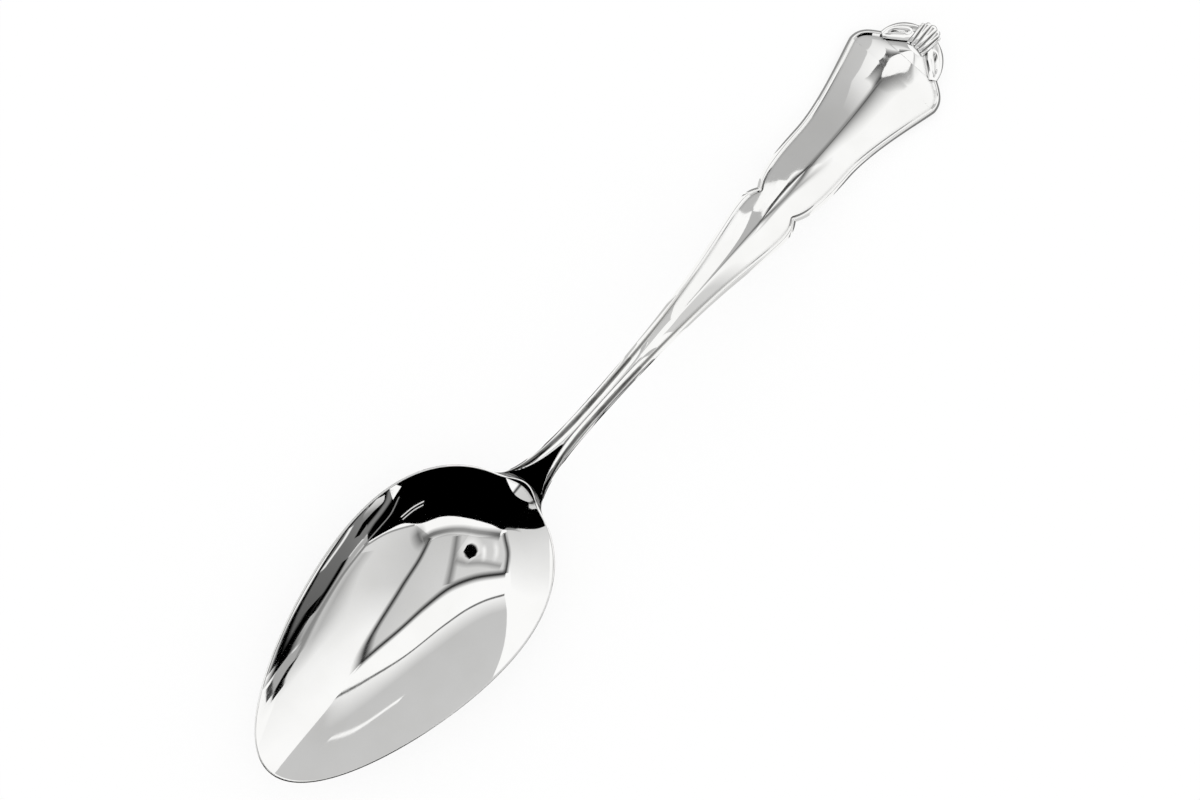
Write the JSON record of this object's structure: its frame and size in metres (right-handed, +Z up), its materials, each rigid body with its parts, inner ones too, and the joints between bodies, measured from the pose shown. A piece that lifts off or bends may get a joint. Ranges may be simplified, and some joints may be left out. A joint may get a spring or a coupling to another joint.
{
  "type": "table spoon",
  "caption": "Polished silver table spoon: egg-shaped bowl on an arched handle with a notched thread border, end scrolls and a small fan.",
  "frame": {"origin": "on the table surface, halfway between the bowl's tip and the handle's end, in the spoon's plane of symmetry", "axes": "+X along the spoon from the bowl's tip to the handle's end, +Y to the left of someone who looks along +X, +Z up, the way the hollow of the bowl opens"},
  "size_m": [0.205, 0.0404, 0.02],
  "materials": {
    "silver": "polished"
  },
  "bodies": {
    "root": {"bowl": "silver", "shank": "silver", "thread_stem_left": "silver", "thread_stem_right": "silver", "thread_blade_left": "silver", "thread_blade_right": "silver", "scroll_left": "silver", "scroll_right": "silver", "fan_terminal": "silver"}
  },
  "joints": []
}
